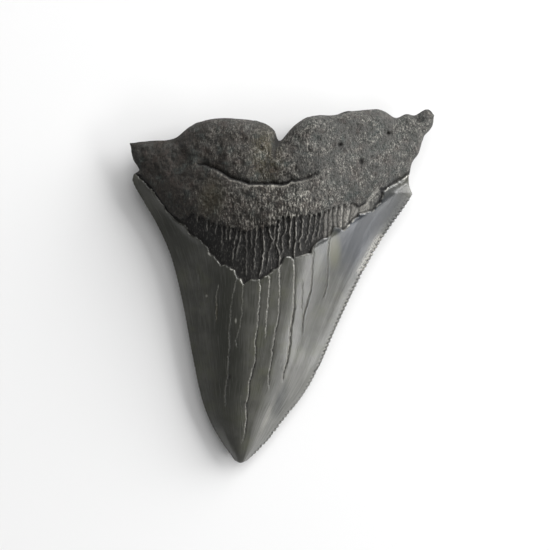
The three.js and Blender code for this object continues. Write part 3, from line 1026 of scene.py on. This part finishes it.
# The right flank's bluish zone: partly a bluish tint, partly a painted reflection of a darker surround,
# lighter in misty clouds.
MISTY_LAYERS = [([Span("clouds", 0.5, 0.66, 0, 0.8)], ENAMEL_MIST)]
MISTY_PLACE = [Spot((20, 13.5), (16, 17)), Span("across", 43.4, 41.4, 0.3, 0.95)]
# The painted highlight line on the low right flank runs up and to the right by this much x for each y.
STREAK_SLANT = 0.416

# The band turns into a plain strip to the right, and its ribs are weaker there. These shares are added up.
STRIP_SHARES = [Span("x", 9, 14, 0, 0.55), Span("x", 18.7, 20, 0, 0.45)]
RIB_SHARES = [Span("x", 7, 12, 1, 0.6), Span("x", 13, 15, 0, 0.35)]
# A rib fades from this many half widths to the next, which is wider where the ribs are plates.
RIB_FOOT = 1.05
RIB_CREST = Span("x", 9, 12, 0.4, 0.8)
RIB_BREAKS = Span("rib_breaks", 0.4, 0.53, 0.15, 1)
FLAT_STRIP = Span("x", 18.7, 20)
BAND_LAYERS = [
    ([Span("patches", 0.42, 0.62)], BAND_FLOOR),
    ([Span("y", 13, 6, 0, 0.07)], BAND_STRIP),
    (["strip"], BAND_STRIP),
    ([Span("grains", 0.5, 0.62, 0, 0.6), FLAT_STRIP], BONE_SPECK_AND_HIGHLIGHT),
    ([Span("grains", 0.48, 0.4, 0, 0.8), FLAT_STRIP], SHADE_AND_DARK_SPECK),
    (["thread", Span("x", -18, -12, 0.25, 0.3)], BAND_RIB),
    (["ribs"], BAND_RIB),
]

# The bone is pale and speckled to the right and on its bulge, and brown and plain on the left wing. The
# darkening to the left is partly painted shade.
CLEAR = [Span("x", -26, 6, 0.1, 1)]
BULGE = [*CLEAR, Span("y", 27, 23, 0.5, 1), Span("x", 14, 4)]
BRIGHT = [*CLEAR, Span("patchy", 0.42, 0.58, 0.1, 1), Span("x", 6, 16, 1, 0.75)]
# How grey the bone is: greyer to the right, which partly paints the shade of the side that faces away from
# the light.
GREY_SHARES = [
    Span("x", -13, 11, 0, 0.95),
    Span("y", 20, 31, -0.3, 0.1),
    Span("mottle", 0.3, 0.7, -0.35, 0.35),
    Spot((15, 20.5), (7, 5), 0.45),
    Spot((-6, 19), (12, 8), -0.6),
]
BONE_LAYERS = [
    (["greyness"], BONE_GREY),
    ([Spot((-3.5, 33), (6, 12), 0.85)], OCHRE),
    ([Span("hue", 0.54, 0.66, 0, 0.5)], BONE_TEAL),
    ([Span("hue", 0.46, 0.34, 0, 0.3)], BONE_RUST),
    ([Span("fibres", 0.54, 0.64, 0, 0.75), *BULGE], BONE_SPECK_AND_HIGHLIGHT),
    ([Span("fibres", 0.46, 0.38, 0, 0.8), *BULGE], SHADE_AND_DARK_SPECK),
    ([Span("grains", 0.55, 0.66, 0, 0.75), *BRIGHT], BONE_SPECK_AND_HIGHLIGHT),
    ([Span("fine", 0.55, 0.65, 0, 0.6), *BRIGHT], BONE_SPECK_AND_HIGHLIGHT),
    ([Span("fine", 0.44, 0.36, 0, 0.7)], SHADE_AND_DARK_SPECK),
    ([Span("grains", 0.47, 0.38, 0, 0.9), Span("x", 6, 16, 1, 0.7)], SHADE_AND_DARK_SPECK),
]

# The edges between the zones, the ledge across the root, and the margin beside the right part of the band:
# mostly painted shade and painted highlights.
MARGIN_GAP = 22.8
ABOVE_LIP = [Span("to_lip", -0.04, 0.06), "lip"]
EDGE_LAYERS = [
    # Painted shadow on the band just above the enamel's rim.
    ([Line("to_enamel", 0.3, 0.4, 0.1, 0, 0.7), "neck"], SHADE_AND_DARK_SPECK),
    # Painted highlight, with some wear, along the ledge's rim.
    ([Line("to_lip", -0.2, 0.35, 0.1), "lip", Span("grains", 0.42, 0.56, 0, 0.7),
      Span("x", -17, -7, 0.1, 1), Span("x", 9, 2, 0.2, 1)], BONE_SPECK_AND_HIGHLIGHT),
    # Painted shade in the hollow behind the ledge.
    ([*ABOVE_LIP, Span("to_lip", 2.4, 0.3, 0, 0.35)], SHADE_AND_DARK_SPECK),
    # Painted shade in the crevice along the ledge.
    ([Span("crease", 0, 1, 0, 0.95)], SHADE_AND_DARK_SPECK),
    # Painted shade at the foot of the bone beside the right part of the band, broken at the gap.
    ([Line("to_bone", -0.1, 0.35, 0.1), Span("x", 17, 19), Line("x", MARGIN_GAP, 1, 2, 0.2, 1)],
     SHADE_AND_DARK_SPECK),
    # Painted highlight along the bone's edge in that gap.
    ([Line("to_bone", -0.1, 0.55, 0.2), Line("x", MARGIN_GAP, 1, 2, 0.8, 0), Span("fine", 0.42, 0.52)],
     PALE_MINERAL_AND_HIGHLIGHT),
]

# Small marks and stains on the enamel, the band and the bone, with painted shade and painted dark reflection
# among them.
MARKS = [
    (PALE_MINERAL_AND_HIGHLIGHT, (-11.3, -8.3), (0.35, 0.9), 0.6),
    (PALE_MINERAL_AND_HIGHLIGHT, (-18.6, -2.2), (0.4, 0.5), 0.4),
    (SHADE_AND_DARK_SPECK, (-13, -22.3), (0.7, 1), 0.8),
    (SHADE_AND_DARK_SPECK, (-8.9, -28.7), (0.5, 0.5), 0.9),
    (OCHRE, (-16.1, -5.7), (0.4, 4), 0.8),
    # Painted shade in three of the bone's pits.
    (SHADE_AND_DARK_SPECK, (14.4, 35.1), (0.8, 0.65), 1),
    (SHADE_AND_DARK_SPECK, (26.4, 38.1), (0.6, 0.6), 1),
    (SHADE_AND_DARK_SPECK, (19.6, 31), (0.8, 1.5), 0.75),
    (SHADE_AND_DARK_SPECK, (25, 24.2), (0.9, 0.9), 0.9),
    # Painted dark reflection, bluish, in the dip beside the low flank's painted highlight and on the upper
    # right flank.
    (ENAMEL_BLUE_AND_REFLECTION, (0, -26.2), (2.5, 5.2), 0.35),
    (ENAMEL_BLUE_AND_REFLECTION, (-1.3, -29.4), (2.2, 5), 0.35),
    (ENAMEL_BLUE_AND_REFLECTION, (17.5, 11.3), (5.5, 6), 0.4),
    # Painted shade down the cleft from the notch.
    (SHADE_AND_DARK_SPECK, (-1.1, 36.4), (1.3, 3.4), 0.9),
    (SHADE_AND_DARK_SPECK, (-1.9, 33.3), (1.1, 3), 0.8),
    (SHADE_AND_DARK_SPECK, (-3.3, 30.3), (1, 2.8), 0.6),
    # Broad darkening on the root.
    (SHADE_AND_DARK_SPECK, (-5.3, 39.6), (4.8, 4.2), 0.4),
    (SHADE_AND_DARK_SPECK, (7.2, 30.2), (6.5, 4.2), 0.35),
    (SHADE_AND_DARK_SPECK, (-10, 24.8), (5.5, 3.4), 0.3),
    (SHADE_AND_DARK_SPECK, (4.8, 24.8), (4.5, 2.6), 0.22),
    (SHADE_AND_DARK_SPECK, (-5, 19.5), (9, 6), 0.15),
    # Bluish tint with painted dark reflection on the right shoulder.
    (ENAMEL_BLUE_AND_REFLECTION, (28, 19), (8, 9), 0.55),
    (BAND_VALLEY, (-16.2, 14.8), (5, 3), 0.3),
    (BAND_VALLEY, (-7.6, 10.2), (2.2, 5.2), 0.45),
    (OCHRE, (-17.2, 21.8), (4.8, 6.8), 0.45),
    (OLIVE_STAIN, (13.1, 9), (2.4, 6.5), 0.6),
    (ENAMEL_SHADE, (31, 26.8), (3.4, 2.8), 0.7),
]
MARK_LAYERS = [([Spot(*spot)], colour) for colour, *spot in MARKS]

# The cracks' painted highlight and shade, the enamel's upper rim, partly a painted highlight, painted shade
# in the pits and the nicks, and the chipped right edge.
LIGHT_WALL_OFFSET = -0.1
DARK_GROOVE_OFFSET = 0.12
CRACK_SHAKE = Span("crack_shake", 0.3, 0.7, -0.13, 0.13)
DAMAGE_LAYERS = [
    # The enamel's upper rim, pale and partly a painted highlight.
    ([Line("to_enamel", -0.16, 0.24, 0.06), "rim", Span("rim_breaks", 0.42, 0.56)], PALE_MINERAL_AND_HIGHLIGHT),
    # Painted highlight on the cracks' lit walls, and painted shade in their grooves.
    (["light"], PALE_MINERAL_AND_HIGHLIGHT),
    (["dark"], SHADE_AND_DARK_SPECK),
    # Painted shade in the bone's pits.
    (["pit"], SHADE_AND_DARK_SPECK),
    ([Span("across", 42.2, 43), "enamel", Line("y", 8.3, 5.5, 4, 0.1, 0.7), Span("fine", 0.42, 0.54)],
     BONE_SPECK_AND_HIGHLIGHT),
    # Painted shade in the nicks between the serrations.
    (["nicked"], SHADE_AND_DARK_SPECK),
]

ENAMEL_ROUGHNESS = 0.25
ADDED_ROUGHNESS = {"band": 0.7, "bone": 0.68, "dark": 0.6, "nicked": 0.5}
# Small relief: what it is made of, multiplied, and its height in millimetres.
SMALL_RELIEF = [
    (["bone", "grains"], 0.45),
    (["bone", "fine"], 0.16),
    (["band", "ribs"], 0.14),
    (["band", "thread"], 0.08),
    (["enamel", "polish"], 0.015),
    (["light"], 0.06),
    (["dark"], -0.3),
    (["crease"], -0.5),
]
STRAND_STRETCH = (1, 0.06, 1)
ENAMEL_IOR = 1.55


def name_coordinates():
    """The place in millimetres, and the strand, which runs along the crown's growth from tip to neck."""
    place = vector_maths("MULTIPLY", add("ShaderNodeTexCoord").outputs["Object"], (1000, 1000, 1000))
    strand = vector_maths("MULTIPLY", attribute("strand", "Vector"), STRAND_STRETCH)
    x, y, _ = separate(place)
    slant = plus(x, times(y, -STREAK_SLANT))
    named.update(place=place, strand=strand, x=x, y=y, across=separate(strand)["X"], slant=slant)


def nearest_crack(offset):
    """The distance to the nearest of the crack lines, once all are moved to the right by offset."""
    shake = part_socket(CRACK_SHAKE)
    lines = []
    for group in range(CRACK_VECTORS):
        moved = vector_maths("ADD", attribute(f"cracks_{group}", "Vector"), shake)
        lines += separate(vector_maths("ABSOLUTE", vector_maths("SUBTRACT", moved, (offset, offset, offset))))
    return reduce(partial(maths, "MINIMUM"), lines)


# Masks by name, each the product of its parts. A crack is a light wall, partly a painted highlight, to the
# left of a dark groove, partly painted shade.
MASKS = {
    "neck": [Span("to_enamel", -0.06, 0.06)],
    "bone": [Span("to_bone", -0.1, 0.16), "neck"],
    "band": [Span("to_bone", -0.1, 0.16, 1, 0), "neck"],
    "enamel": [Span("neck", 0, 1, 1, 0)],
    "light": [
        Span("from_light", 0.2, 0.05), Span("crack_breaks", 0.4, 0.54, 0.3, 1), "crack_light", "enamel",
    ],
    "dark": [
        Span("from_dark", 0.2, 0.08), Span("crack_dots", 0.43, 0.52, 0.15, 1), "crack_dark", "enamel",
    ],
    # Painted shade in the crevice along the ledge.
    "crease": [*ABOVE_LIP, Span("to_lip", 0.7, 0.35)],
    # Painted shade in the nicks.
    "nicked": [Span("nick", 0.1, 0.6)],
    "thread": [Span("threads", 0.54, 0.64)],
}


def name_masks():
    named["from_light"] = nearest_crack(LIGHT_WALL_OFFSET)
    named["from_dark"] = nearest_crack(DARK_GROOVE_OFFSET)
    for name, parts in MASKS.items():
        named[name] = mask(*parts)
    named["strip"] = added(STRIP_SHARES)
    named["greyness"] = maths("ADD", added(GREY_SHARES), 0, clamp=True)
    named["ribs"] = rib_mask()


def rib_mask():
    """The neck band's light ribs, the same as the mesh's own, each broken along its length."""
    away = maths("DIVIDE", maths("PINGPONG", find("rib"), 0.5), find("rib_width"))
    crest = ramp(away, RIB_FOOT, part_socket(RIB_CREST))
    return times(crest, mask("rib_light", RIB_BREAKS), added(RIB_SHARES))


def surface_colour():
    enamel = paint(ENAMEL_DARK, ENAMEL_LAYERS)
    enamel = mixed(mask(*MISTY_PLACE), enamel, paint(ENAMEL_BLUE_AND_REFLECTION, MISTY_LAYERS))
    band = paint(BAND_VALLEY, BAND_LAYERS)
    bone = paint(BONE_BROWN, BONE_LAYERS)
    zones = paint(enamel, [(["neck"], band), (["bone"], bone)])
    return paint(zones, EDGE_LAYERS + MARK_LAYERS + DAMAGE_LAYERS)


def fill_fossil_material():
    name_coordinates()
    name_masks()
    roughnesses = [times(find(zone), amount) for zone, amount in ADDED_ROUGHNESS.items()]
    heights = [times(mask(*parts), height) for parts, height in SMALL_RELIEF]
    relief = {"Height": plus(*heights), "Strength": 1, "Distance": millimetre}
    shader = add("ShaderNodeBsdfPrincipled", {
        "Base Color": surface_colour(),
        "Roughness": plus(ENAMEL_ROUGHNESS, *roughnesses),
        "Normal": add("ShaderNodeBump", relief).outputs[0],
        "IOR": ENAMEL_IOR,
    })
    add("ShaderNodeOutputMaterial", {"Surface": shader.outputs[0]})


# ---- the stage

FLOOR_SIZE = 3.0
FLOOR_COLOUR = (0.78, 0.78, 0.78)
FLOOR_ROUGHNESS = 0.9
WORLD_STRENGTH = 0.22
# The camera looks straight down. Widths and heights are in millimetres, and the floor's size is in metres.
LENS = 150.0
CLIP_START = 0.01
SENSOR = 36.0
VIEW_WIDTH = 137.5
VIEW_CENTRE = (-1.6, 3)
SHARP_HEIGHT = 6.0


def plain_material(name, colour, roughness):
    material = bpy.data.materials.new(name)
    material.use_nodes = True
    shader = material.node_tree.nodes["Principled BSDF"]
    shader.inputs["Base Color"].default_value = (*colour, 1)
    shader.inputs["Roughness"].default_value = roughness
    return material


def make_floor():
    mesh = bpy.data.meshes.new("floor")
    half = FLOOR_SIZE / 2
    corners = [(-half, -half, 0), (half, -half, 0), (half, half, 0), (-half, half, 0)]
    mesh.from_pydata(corners, [], [(0, 1, 2, 3)])
    mesh.materials.append(plain_material("pale_floor", FLOOR_COLOUR, FLOOR_ROUGHNESS))
    floor = bpy.data.objects.new("floor", mesh)
    bpy.context.scene.collection.objects.link(floor)


# The soft lights, as azimuth, elevation, distance, width, height and power. Azimuth 0 is +X, and 90 is +Y.
SOFTBOXES = {
    "key": (36, 27, 1.2, 1.25, 0.8, 22),
    "overhead": (75, 62, 1.3, 1.1, 1.1, 7),
    "gloss": (-17, 30, 1.2, 0.6, 0.2, 4.3),
    "low": (14, 16, 1.2, 0.8, 0.45, 4),
}


def make_softbox(name, azimuth, elevation, distance, width, height, power):
    """A rectangular soft light that looks at the tooth."""
    light = bpy.data.lights.new(name, "AREA")
    light.shape = "RECTANGLE"
    light.size = width
    light.size_y = height
    light.energy = power
    holder = bpy.data.objects.new(name, light)
    turn = math.radians(azimuth)
    lift = math.radians(elevation)
    direction = Vector((math.cos(turn) * math.cos(lift), math.sin(turn) * math.cos(lift), math.sin(lift)))
    holder.location = direction * distance
    holder.rotation_euler = direction.to_track_quat("Z", "Y").to_euler()
    bpy.context.scene.collection.objects.link(holder)


def make_world(strength):
    world = bpy.data.worlds.new("studio")
    world.use_nodes = True
    background = world.node_tree.nodes["Background"]
    background.inputs["Color"].default_value = (1, 1, 1, 1)
    background.inputs["Strength"].default_value = strength
    bpy.context.scene.world = world


def make_camera():
    camera = bpy.data.cameras.new("camera")
    camera.lens = LENS
    camera.sensor_width = SENSOR
    camera.clip_start = CLIP_START
    holder = bpy.data.objects.new("camera", camera)
    height = SHARP_HEIGHT + VIEW_WIDTH * LENS / SENSOR
    holder.location = Vector((*VIEW_CENTRE, height)) * millimetre
    bpy.context.scene.collection.objects.link(holder)
    bpy.context.scene.camera = holder


def make_stage():
    bpy.context.scene.view_settings.view_transform = "Standard"
    make_floor()
    make_world(WORLD_STRENGTH)
    for name, settings in SOFTBOXES.items():
        make_softbox(name, *settings)
    make_camera()


def make_fossil():
    mesh = build_mesh(Grid())
    fill_fossil_material()
    mesh.materials.append(fossil_material)
    fossil = bpy.data.objects.new("fossil_tooth", mesh)
    bpy.context.scene.collection.objects.link(fossil)
    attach(fossil, "root")
    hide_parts("tooth")


make_stage()
make_fossil()
